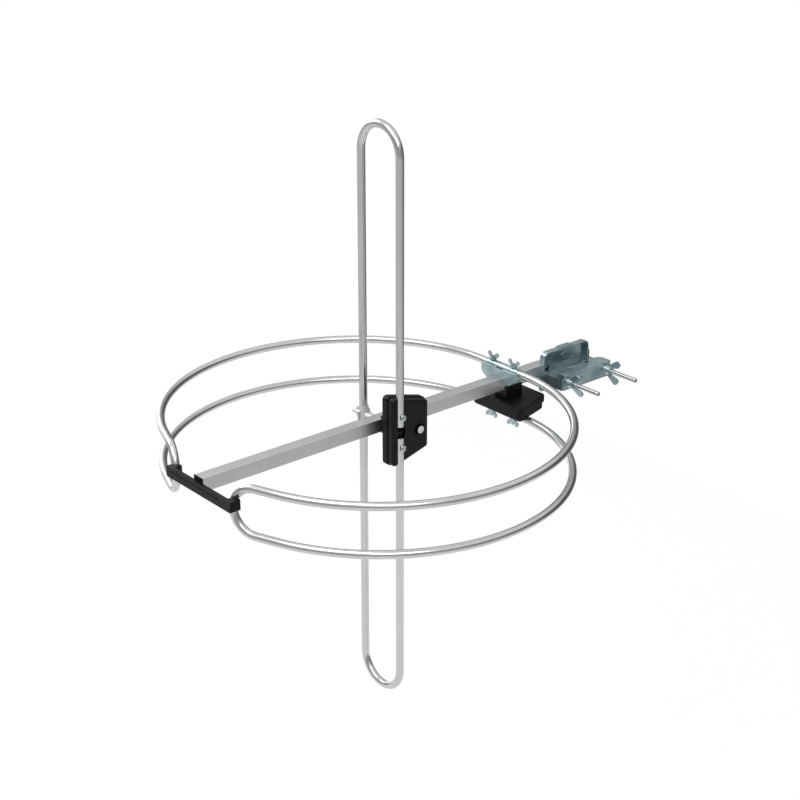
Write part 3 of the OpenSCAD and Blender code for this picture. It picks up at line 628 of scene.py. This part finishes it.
def makeCover():
    b, forms = feedBox, coverForms
    low, high, deep, above = -b["coverLip"], b["coverReach"], b["tubeDepth"], b["above"]
    slope = (b["half"] - b["tipHalf"]) / (b["reach"] + b["lip"])
    halfAt = lambda u: b["half"] - slope * (u + b["lip"]) - b["coverInset"]
    cover = taperBlock("cover", low, high, halfAt(low), halfAt(high), b["coverBack"],
                       b["coverFront"], b["coverCorner"], b["coverTipCorner"])
    pickEdges(cover, lambda mid, way: mid.z > b["coverFront"] - near)
    bevelPicked(b["edge"], 6)
    well = lambda w: (b["wellU"], b["wellV"], w)
    cut(cover, barrel("groove", b["tubeWay"], (0, -b["outside"], deep), (0, b["outside"], deep)),
        block("way", (-b["tubeWay"], -b["outside"], deep), (b["tubeWay"], b["outside"], above)),
        block("pit", *forms["pit"]),
        barrel("well", b["wellRadius"], well(b["wellFloor"]), well(above)))
    deselectAll()
    bpy.ops.mesh.primitive_torus_add(location=Vector(well(b["coverFront"])) * mm,
                                     major_radius=b["ringLine"] * mm,
                                     minor_radius=b["ringLineRadius"] * mm,
                                     major_segments=56, minor_segments=12)
    cut(cover, settle(namePiece("ringLine")))
    ledge = block("ledge", *forms["ledge"])
    ledgeTop = forms["ledge"][1][2]
    pickEdges(ledge, lambda mid, way: mid.z > ledgeTop - near)
    bevelPicked(forms["ledgeEdge"], 3)
    cut(ledge, block("score", *forms["score"]))
    fuse(cover, ledge, block("rib", *forms["rib"]), block("latch", *forms["latch"]))
    return soften(cover, b["coverSoft"], angle=40)


def makeBase(pockets):
    b = feedBox
    base = taperBlock("base", -b["lip"], b["reach"], b["half"], b["tipHalf"], 0, b["baseDepth"],
                      b["baseCorner"], b["baseTipCorner"])
    pickEdges(base, lambda mid, way: mid.z < near)
    bevelPicked(b["baseEdge"])
    for v in pockets:
        cut(base, barrel("pocket", b["pocket"], (0, v, -past), (0, v, b["pocketDeep"]), 6))
    return soften(base, b["baseSoft"], angle=40)


# the saddle between a box and the boom, with a lip down each side of the boom; for each box: its
# ends along u, its height above the boom and its offset across
saddleForm = {"loop": (-5, 26, 7.95, 1.5), "ring": (-4, 24, 12.9, 0), "cheek": 2.5, "lip": 4,
              "lipMiddle": 1.3, "lipHalf": 1.2, "edge": 0.5}


def makeSaddle(name, key, place):
    s, boom = saddleForm, boomSize["half"]
    low, high, standoff, offset = s[key]
    wide = boom + s["cheek"]
    saddle = block(name, (low, offset - wide, -standoff), (high, offset + wide, 0))
    for side in (-1, 1):
        middle = offset + side * (boom + s["lipMiddle"])
        fuse(saddle, block("lip", (low, middle - s["lipHalf"], -standoff - s["lip"]),
                           (high, middle + s["lipHalf"], -standoff + past)))
    return moveTo(soften(saddle, s["edge"], segments=3), name, place)


coverShape = makeCover()
screwsAt = (-feedBox["screw"], feedBox["screw"])
for side, place, pockets in (("loop", loopPlace, screwsAt), ("ring", ringPlace, ())):
    finishPiece(copyPiece(coverShape, side + "BoxCover", place), "antenna", "black_plastic",
                [side + "_box_cover"])
    finishPiece(moveTo(makeBase(pockets), side + "BoxBase", place), "antenna", "black_plastic",
                [side + "_box_base"])
bpy.data.objects.remove(coverShape, do_unlink=True)
for side, place in (("loop", loopPlace), ("ring", ringPlace)):
    finishPiece(makeSaddle(side + "BoxSaddle", side, place), "antenna", "black_plastic",
                [side + "_box_saddle"])

boxScrew = {"head": 4.3, "headLow": 23.3, "headTop": 25.9, "dome": 1.1, "slotHalf": 0.5,
            "slotFloor": 24.9, "slotTop": 27, "slotReach": 6, "shank": 2, "shankTop": 23.5,
            "edge": 0.12}


def makeScrews():
    s = boxScrew
    screw = barrel("screw", s["head"], (0, 0, s["headLow"]), (0, 0, s["headTop"]), 40)
    pickEdges(screw, lambda mid, way: mid.z > s["headTop"] - near)
    bevelPicked(s["dome"], 5)
    cut(screw, block("slot", (-s["slotReach"], -s["slotHalf"], s["slotFloor"]),
                     (s["slotReach"], s["slotHalf"], s["slotTop"])))
    fuse(screw, barrel("shank", s["shank"], (0, 0, -past), (0, 0, s["shankTop"]), 24))
    soften(screw, s["edge"])
    both = join([copyPiece(screw, "screwPair", shift(0, feedBox["screw"], 0)),
                 moveTo(screw, "otherScrew", shift(0, -feedBox["screw"], 0))])
    return moveTo(both, "loopBoxScrews", loopPlace)


finishPiece(makeScrews(), "antenna", "steel", ["loop_box_screws"])
print("feed boxes made")

# wing nuts

wingSizes = {"small": {"bolt": 4, "hub": 4.2, "hubHigh": 5, "span": 20, "high": 10.5, "thick": 1.6},
             "middle": {"bolt": 5, "hub": 4.8, "hubHigh": 4.4, "span": 17, "high": 6.4, "thick": 2},
             "large": {"bolt": 6, "hub": 6.5, "hubHigh": 8, "span": 32, "high": 22, "thick": 2.6}}
# shares: ear of the span, foot and neck of the wing by the hub's radius and height, edge of thick
wingForm = {"ear": 0.15, "hubTop": 0.82, "leanX": 0.8, "leanZ": 0.6, "footX": 0.95, "footZ": 0.22,
            "neckX": 0.62, "neckZ": 0.96, "earSteps": 12, "play": 0.05, "clear": 2, "edge": 0.3,
            "edgeAngle": 42}
# where the nuts sit: offsets are to both sides of the boom, turns are in degrees
nutPlaces = {"ringOffset": 19, "ringZ": 24.35, "ringTurn": 90,
             "boxOffset": 20, "boxOut": 24.35, "boxTurn": 87,
             "legOut": 40.8, "legTurn": 84,
             "mastY": -53.15, "mastTurns": {"left": 105, "right": 85}}
# offset: of each bolt from the mast's axis; root: share of the radius; flank and crest: shares of
# the pitch; start, end and headY: places along the bolts
mastBolt = {"offset": 35, "z": -3.6, "start": 8, "end": -105.5, "endGap": 0.3, "radius": 3,
            "pitch": 1.0, "root": 0.9, "flank": 0.4, "crest": 0.2, "sides": 24,
            "head": 5.77, "headY": (8.5, 12.5), "headEdge": 0.4}


def makeWingNut(name, size):
    f = wingForm
    hub, tall, half = size["hub"], size["hubHigh"], size["thick"] / 2
    ear = size["span"] * f["ear"]
    earX, earZ = size["span"] / 2 - ear, size["high"] - ear
    foot, neck = tall * f["footZ"], tall * f["neckZ"]
    lean = math.atan2(earZ - tall * f["leanZ"], earX - hub * f["leanX"])
    outline = [(0, foot), (hub * f["footX"], foot),
               (earX + ear * math.sin(lean), earZ - ear * math.cos(lean))]
    for step in range(1, f["earSteps"]):
        angle = lean - math.pi / 2 + math.pi * step / f["earSteps"]
        outline.append((earX + ear * math.cos(angle), earZ + ear * math.sin(angle)))
    outline += [(earX - ear * math.sin(lean), earZ + ear * math.cos(lean)),
                (hub * f["neckX"], neck), (0, neck)]
    nut = barrel(name, hub, (0, 0, 0), (0, 0, tall), 48, hub * f["hubTop"])
    for side in (-1, 1):
        fuse(nut, plate("wing", outline, lambda x, z: (side * x, -half, z), (0, 2 * half, 0)))
    cut(nut, barrel("bore", size["bolt"] / 2 + f["play"], (0, 0, -f["clear"]),
                    (0, 0, size["high"] + f["clear"]), 32))
    modify(nut, "BEVEL", width=size["thick"] * f["edge"] * mm, segments=3, limit_method="ANGLE",
           angle_limit=math.radians(f["edgeAngle"]))
    return smooth(nut, 50, flats=True)


nutShapes = {key: makeWingNut(key + "Nut", size) for key, size in wingSizes.items()}


def placeNut(key, node, body, place, degrees):
    matrix = place @ Matrix.Rotation(math.radians(degrees), 4, "Z")
    nut = copyPiece(nutShapes[key], node, matrix)
    finishPiece(nut, body, "zinc_plate", [node], ownLook.get(node))


n = nutPlaces
for side, sign in (("left", 1), ("right", -1)):
    placeNut("small", "ring_clamp_wing_nut_" + side, "ring_nut_" + side,
             shift(*ring(ringTube["back"], n["ringOffset"] * sign, n["ringZ"])), n["ringTurn"])
    placeNut("small", "ring_box_wing_nut_" + side, "box_nut_" + side,
             ringPlace @ shift(0, -n["boxOffset"] * sign, n["boxOut"]), n["boxTurn"])
facing = axes(ring(loopTube["x"], 0, -loopTube["drop"]), (1, 0, 0), (0, 0, -1), (0, 1, 0))
placeNut("middle", "leg_clamp_wing_nut", "leg_nut", facing @ shift(0, 0, n["legOut"]), n["legTurn"])
for side, sign in (("left", -1), ("right", 1)):
    facing = axes(ring(mastX + mastBolt["offset"] * sign, n["mastY"], mastBolt["z"]),
                  (1, 0, 0), (0, 0, 1), (0, -1, 0))
    placeNut("large", "mast_wing_nut_" + side, "mast_nut_" + side, facing, n["mastTurns"][side])
for shape in nutShapes.values():
    bpy.data.objects.remove(shape, do_unlink=True)
print("wing nuts made")

# mast clamp: x from the mast's axis, y and z from the boom's middle

mastClamp = {"left": 45.5, "right": 44, "upperRight": 37.3, "high": 28, "upperLow": -12,
             "back": -8.6, "face": -10.1, "rim": -17.1, "shelf": 1.2, "sheet": 1.5, "corner": 8,
             "lowerTop": 5, "lowerCorner": 4, "root": 0.5, "edge": 0.45, "mast": 22,
             "jaw": -50, "jawLow": -14, "jawTop": 7, "jawHalf": 43.5, "lowerHalf": 42,
             "flange": 19, "flangeRoot": 9, "seatY": -23, "jawEdge": 0.5, "boltHole": 3.3,
             "smallHole": 2.2, "smallHoleX": -10.8, "smallHoleZ": -2.5, "holeReach": 4,
             "outside": 60, "before": 12}
bracketForms = {"below": ((-60, -40, -30), (60, 0, 0.5)), "panel": (-2.5, 29.5, 9, 24, 3),
                "panelProud": 0.8, "panelEdge": 0.7, "tabX": (-16.5, 5.5), "tabHigh": 1.6,
                "cheekGap": 0.1, "insideLow": -50, "mastPlay": 0.05, "mastZ": (-30, 4),
                "openingX": 32.5, "openingY": -19, "openingZ": (-3, 4),
                "recessX": (31.3, 35.3), "recessZ": (4, 18), "recessDeep": 0.8,
                "dimple": 2, "dimpleX": -6.2, "dimpleZ": 16.6,
                "slotX": (-32.4, -29.8), "slotHigh": 5.4}


def mastPoint(x, y, z):
    return ring(mastX + x, y, z)


def standing(name, outline, front, back):
    return plate(name, outline, lambda x, z: mastPoint(x, front, z), (0, back - front, 0))


def lying(name, outline, low, high):
    return plate(name, outline, lambda x, y: mastPoint(x, y, low), (0, 0, high - low))


def makeBracket():
    c, f = mastClamp, bracketForms
    left, right, sheet, top = -c["left"], c["right"], c["sheet"], c["high"]
    face, back, rimFront, shelf = c["face"], c["back"], c["rim"], c["shelf"]
    upper = rounded(left, c["upperRight"], c["upperLow"], top, c["corner"])
    inside = rounded(left + sheet, c["upperRight"] - sheet, f["insideLow"], top - sheet,
                     c["corner"] - sheet)
    lower = rounded(left, right, -top, c["lowerTop"], c["lowerCorner"])
    body = standing("mastBracket", upper, face, back)
    rim = standing("rim", upper, rimFront, back)
    cut(rim, standing("inside", inside, rimFront - past, back + past),
        block("below", *[mastPoint(*corner) for corner in f["below"]]))
    fuse(body, rim, standing("lower", lower, face, back))
    proud = f["panelProud"]
    panel = standing("panel", rounded(*f["panel"]), face - proud, face + proud)
    panelFront = mastPoint(0, face - proud, 0)[1]
    pickEdges(panel, lambda mid, way: mid.y < panelFront + near)
    bevelPicked(f["panelEdge"], 3)
    fuse(body, panel, block("tab", mastPoint(f["tabX"][0], rimFront, top - c["root"]),
                            mastPoint(f["tabX"][1], back, top + f["tabHigh"])),
         block("shelf", mastPoint(left, c["jaw"], shelf - sheet),
               mastPoint(right, face + c["root"], shelf)))
    for low in (left, right - sheet):
        fuse(body, block("cheek", mastPoint(low, c["jaw"], c["jawLow"]),
                         mastPoint(low + sheet, face + c["root"], shelf - f["cheekGap"])))
    dimple = lambda y: mastPoint(f["dimpleX"], y, f["dimpleZ"])
    cut(body, block("opening", mastPoint(-f["openingX"], c["jaw"] - past, f["openingZ"][0]),
                    mastPoint(f["openingX"], f["openingY"], f["openingZ"][1])),
        barrel("mastWay", c["mast"] + f["mastPlay"], (0, 0, f["mastZ"][0]),
               (0, 0, f["mastZ"][1]), 96),
        block("recess", mastPoint(f["recessX"][0], face - past, f["recessZ"][0]),
              mastPoint(f["recessX"][1], face + f["recessDeep"], f["recessZ"][1])),
        barrel("dimple", f["dimple"], dimple(face - past), dimple(face + past), 24),
        block("slot", mastPoint(f["slotX"][0], face - past, shelf),
              mastPoint(f["slotX"][1], back + past, shelf + f["slotHigh"])))
    return soften(body, c["edge"], segments=3, angle=40)


def jawFlange(name, half, low, high):
    # a rounded flange whose front is cut square behind the jaw's face, with the mast's seat
    c = mastClamp
    jaw, root = c["jaw"], c["flangeRoot"]
    front = jaw - c["root"]
    outline = rounded(-half, half, jaw - root, jaw + c["flange"], c["corner"])
    square = [(half, front), (half, jaw + root), (-half, jaw + root), (-half, front)]
    seat = lambda z: mastPoint(0, c["seatY"], z)
    flange = lying(name, outline, low, high)
    fuse(flange, lying("root", square, low, high))
    cut(flange, block("front", mastPoint(-c["outside"], jaw - c["before"], low - past),
                      mastPoint(c["outside"], front, high + past)),
        barrel("seat", c["mast"], seat(low - past), seat(high + past), 96))
    return flange


def makeJaw():
    c = mastClamp
    sheet, low, top = c["sheet"], c["jawLow"], c["jawTop"]
    jaw = block("mastJaw", mastPoint(-c["jawHalf"], c["jaw"] - sheet, low),
                mastPoint(c["jawHalf"], c["jaw"], top))
    fuse(jaw, jawFlange("upperFlange", c["jawHalf"], top - sheet, top),
         jawFlange("lowerFlange", c["lowerHalf"], low, low + sheet))
    holes = [(side * mastBolt["offset"], mastBolt["z"], c["boltHole"], 32) for side in (-1, 1)]
    holes.append((c["smallHoleX"], c["smallHoleZ"], c["smallHole"], 20))
    for x, z, radius, sides in holes:
        cut(jaw, barrel("hole", radius, mastPoint(x, c["jaw"] - c["holeReach"], z),
                        mastPoint(x, c["jaw"] + c["holeReach"], z), sides))
    return soften(jaw, c["jawEdge"], segments=3, angle=40)


finishPiece(makeBracket(), "antenna", "zinc_plate", ["mast_bracket"])
finishPiece(makeJaw(), "jaw", "zinc_plate", ["mast_jaw"])


def threadRod(name, start, end):
    # one turn of thread outline, repeated along the rod and closed at both ends
    m = mastBolt
    root, pitch = m["root"], m["pitch"]
    start, end = Vector(start) * mm, Vector(end) * mm
    along = (end - start).normalized()
    turns = int((end - start).length / (pitch * mm))
    deselectAll()
    bpy.ops.mesh.primitive_circle_add(vertices=m["sides"], radius=m["radius"] * mm * root)
    rod = namePiece(name)
    bpy.ops.object.mode_set(mode="EDIT")
    bpy.ops.mesh.select_all(action="SELECT")
    for grow, climb in ((1 / root, m["flank"]), (1.0, m["crest"]), (root, m["flank"])):
        rise = (0, 0, climb * pitch * mm)
        bpy.ops.mesh.extrude_region_move(TRANSFORM_OT_translate={"value": rise})
        bpy.ops.transform.resize(value=(grow, grow, 1))
    bpy.ops.object.mode_set(mode="OBJECT")
    modify(rod, "ARRAY", count=turns, use_relative_offset=False, use_constant_offset=True,
           constant_offset_displace=(0, 0, pitch * mm), use_merge_vertices=True,
           merge_threshold=weld)
    bpy.ops.object.mode_set(mode="EDIT")
    bpy.ops.mesh.select_all(action="SELECT")
    bpy.ops.mesh.remove_doubles(threshold=weld)
    bpy.ops.mesh.select_all(action="DESELECT")
    bpy.ops.mesh.select_non_manifold()
    bpy.ops.mesh.edge_face_add()
    bpy.ops.mesh.select_all(action="SELECT")
    bpy.ops.mesh.normals_make_consistent(inside=False)
    bpy.ops.object.mode_set(mode="OBJECT")
    turn = along.to_track_quat("Z", "Y").to_matrix().to_4x4()
    return moveTo(rod, name, Matrix.Translation(start) @ turn)


def makeMastBolts():
    m = mastBolt
    made = []
    for side in (-1, 1):
        at = lambda y: mastPoint(side * m["offset"], y, m["z"])
        made.append(threadRod("mastBolt", at(m["start"]), at(m["end"] + m["endGap"])))
        head = barrel("head", m["head"], at(m["headY"][0]), at(m["headY"][1]), 6)
        made.append(soften(head, m["headEdge"]))
    return smooth(join(made), 25)


finishPiece(makeMastBolts(), "antenna", "steel", ["mast_bolts"])
print("mast clamp made")

# ring clamp and far leg clamp

ringClamp = {"half": 31, "deep": 10, "sheet": 1.5, "web": 8.6, "webHalf": 9, "top": 19.7,
             "shoulder": 11, "taper": 0.5, "boomWay": 8.6, "skirt": 1.5, "skirtIn": 11.5,
             "kneeIn": 2.5, "knee": 7, "edge": 0.5}


def makeRingClamp():
    # a web across the boom with a wall in front, whose skirt straddles the boom, and one behind
    c = ringClamp
    middle, half, web, sheet = ringTube["back"], c["half"], c["web"], c["sheet"]
    upper = [(half, c["shoulder"]), (half - c["taper"], c["top"])]
    front = [(c["boomWay"], web), (c["boomWay"], c["skirt"]), (half - c["skirtIn"], c["skirt"]),
             (half - c["kneeIn"], c["knee"])] + upper
    back = [(half - c["taper"], web)] + upper
    body = block("ringClampBracket", ring(middle - c["webHalf"], -half, web),
                 ring(middle + c["webHalf"], half, web + sheet))
    for side, low in ((front, -c["deep"]), (back, c["deep"] - sheet)):
        outline = [(-y, z) for y, z in side] + side[::-1]
        fuse(body, plate("wall", outline, lambda y, z: ring(middle + low, y, z), (sheet, 0, 0)))
    return soften(body, c["edge"], segments=3, angle=30)


finishPiece(makeRingClamp(), "antenna", "zinc_plate", ["ring_clamp_bracket"])

legSaddle = {"shell": 6.6, "tube": 5.1, "half": 12.5, "ear": 9.7, "earHalf": 8, "earCorner": 5,
             "earY": -1.8, "sheet": 1.5, "open": -0.3, "bolt": 2.6, "reach": 14, "around": 12,
             "edge": 0.4}


def makeLegSaddle():
    # a half shell on the tube with one rounded ear on each side
    c, t = legSaddle, loopTube
    reach, around = c["reach"], c["around"]
    at = lambda x, y, z: ring(t["x"] + x, t["bend"] + y, -t["drop"] + z)
    saddle = barrel("legClampSaddle", c["shell"], at(0, 0, -c["half"]), at(0, 0, c["half"]), 56)
    ears = rounded(-c["ear"], c["ear"], -c["earHalf"], c["earHalf"], c["earCorner"])
    fuse(saddle, plate("ears", ears, lambda x, z: at(x, c["earY"], z), (0, c["sheet"], 0)))
    cut(saddle, barrel("tubeWay", c["tube"], at(0, 0, -reach), at(0, 0, reach), 56),
        block("open", at(-around, c["open"], -reach), at(around, around, reach)),
        barrel("hole", c["bolt"], at(0, 0, 0), at(0, -around, 0), 32))
    return soften(saddle, c["edge"], segments=3, angle=40)


finishPiece(makeLegSaddle(), "antenna", "zinc_plate", ["leg_clamp_saddle"], "pale_zinc")
print("ring clamp and leg saddle made")

# stage, light and camera

studio = {"lamps": {"key": (30, 1.8, (-1.6, 0.0, 2.4)), "fill": (15, 1.3, (-1.3, -1.7, 2.0)),
                    "rim": (20, 1.6, (-0.9, 2.2, 1.5))},   # power, size and place
          "aim": (-0.3, 0, 0), "world": 0.75, "floor": -0.62, "floorSize": 2.4, "floorTone": 0.95,
          "floorRoughness": 0.9, "showThrough": 0.9, "darkSide": (0.99, 0.05, -0.1),
          "sides": ((0.2, 0.84), (0.5, 0.74), (0.8, 0.5), (0.97, 0.22)),
          "sky": ((0.3, 0), (0.6, 1)), "band": ((0.33, 1), (0.45, 0.55), (0.62, 0.5)),
          "panelSide": (0.2, 0.97, 0.1), "panelEdges": ((0.90, 0), (0.97, 1)), "panel": 1.9}
view = {"place": (-1.4776, -1.3748, 0.8022), "down": 22.84, "turn": -40.3, "lens": 73.96,
        "sensor": 36, "farthest": 50}


def setLamp(name, energy, size, at):
    deselectAll()
    bpy.ops.object.light_add(type="AREA", location=at)
    made = bpy.context.object
    made.name = name
    made.data.energy, made.data.size, made.data.shape = energy, size, "DISK"
    made.rotation_euler = (Vector(at) - Vector(studio["aim"])).to_track_quat("Z", "Y").to_euler()


def setFloor():
    # a pale floor that keeps the shadow and that the camera and reflections see nearly white
    deselectAll()
    bpy.ops.mesh.primitive_plane_add(size=studio["floorSize"],
                                     location=(*studio["aim"][:2], studio["floor"]))
    floor = settle(namePiece("floor"))
    material = bpy.data.materials.new("paleFloor")
    wires = Wiring(material)
    shader = wires.tree.nodes["Principled BSDF"]
    shader.inputs["Base Color"].default_value = (*grey(studio["floorTone"]), 1)
    shader.inputs["Roughness"].default_value = studio["floorRoughness"]
    path = wires.node("ShaderNodeLightPath", {}, {})
    rays = path.socket.node.outputs
    seen = Signal(wires, rays["Is Camera Ray"]) + Signal(wires, rays["Is Glossy Ray"])
    seen = seen + Signal(wires, rays["Is Transmission Ray"])
    glow = wires.node("ShaderNodeEmission", {}, {})
    shown = wires.node("ShaderNodeMixShader", {}, {0: seen * studio["showThrough"],
                                                   1: Signal(wires, shader.outputs[0]), 2: glow})
    wires.tree.links.new(shown.socket, wires.tree.nodes["Material Output"].inputs["Surface"])
    floor.data.materials.append(material)


def setWorld():
    # white to the camera; what the metal sees is white above, grey round the sides, dark on one
    # side and brightest at a panel on another
    world = bpy.data.worlds.new("studio")
    bpy.context.scene.world = world
    wires = Wiring(world)
    fade = lambda signal, key: wires.ramp(signal, *[(at, grey(level)) for at, level in studio[key]])
    way = wires.node("ShaderNodeTexCoord", {}, {}, "Generated")
    towards = lambda key: wires.node("ShaderNodeVectorMath", {"operation": "DOT_PRODUCT"},
                                     [way, studio[key]], "Value")
    height = wires.node("ShaderNodeSeparateXYZ", {}, [way], "Z")
    # from -1..1 to the ramps' 0..1
    sides = fade(towards("darkSide") * 0.5 + 0.5, "sides") * fade(height * 0.5 + 0.5, "band")
    around = wires.mix(fade(height, "sky"), sides, grey(1))
    room = wires.mix(fade(towards("panelSide"), "panelEdges"), around, grey(studio["panel"]))
    path = wires.node("ShaderNodeLightPath", {}, {})
    rays = path.socket.node.outputs
    through = Signal(wires, rays["Is Camera Ray"]) + Signal(wires, rays["Is Transmission Ray"])
    color = wires.mix(through, room, grey(1))
    full = through + Signal(wires, rays["Is Glossy Ray"])
    strength = full * (1 - studio["world"]) + studio["world"]
    back = wires.tree.nodes["Background"]
    wires.tree.links.new(color.socket, back.inputs["Color"])
    wires.tree.links.new(strength.socket, back.inputs["Strength"])


def setCamera():
    bpy.ops.object.camera_add(location=view["place"], rotation=(math.radians(90 - view["down"]), 0,
                                                                math.radians(view["turn"])))
    camera = bpy.context.object
    camera.data.lens = view["lens"]
    camera.data.sensor_width = view["sensor"]
    camera.data.clip_end = view["farthest"]
    bpy.context.scene.camera = camera


setFloor()
setWorld()
setCamera()
for lampName, (energy, size, at) in studio["lamps"].items():
    setLamp(lampName, energy, size, at)
bpy.context.scene.view_settings.view_transform = "Standard"
print("stage, light and camera set")
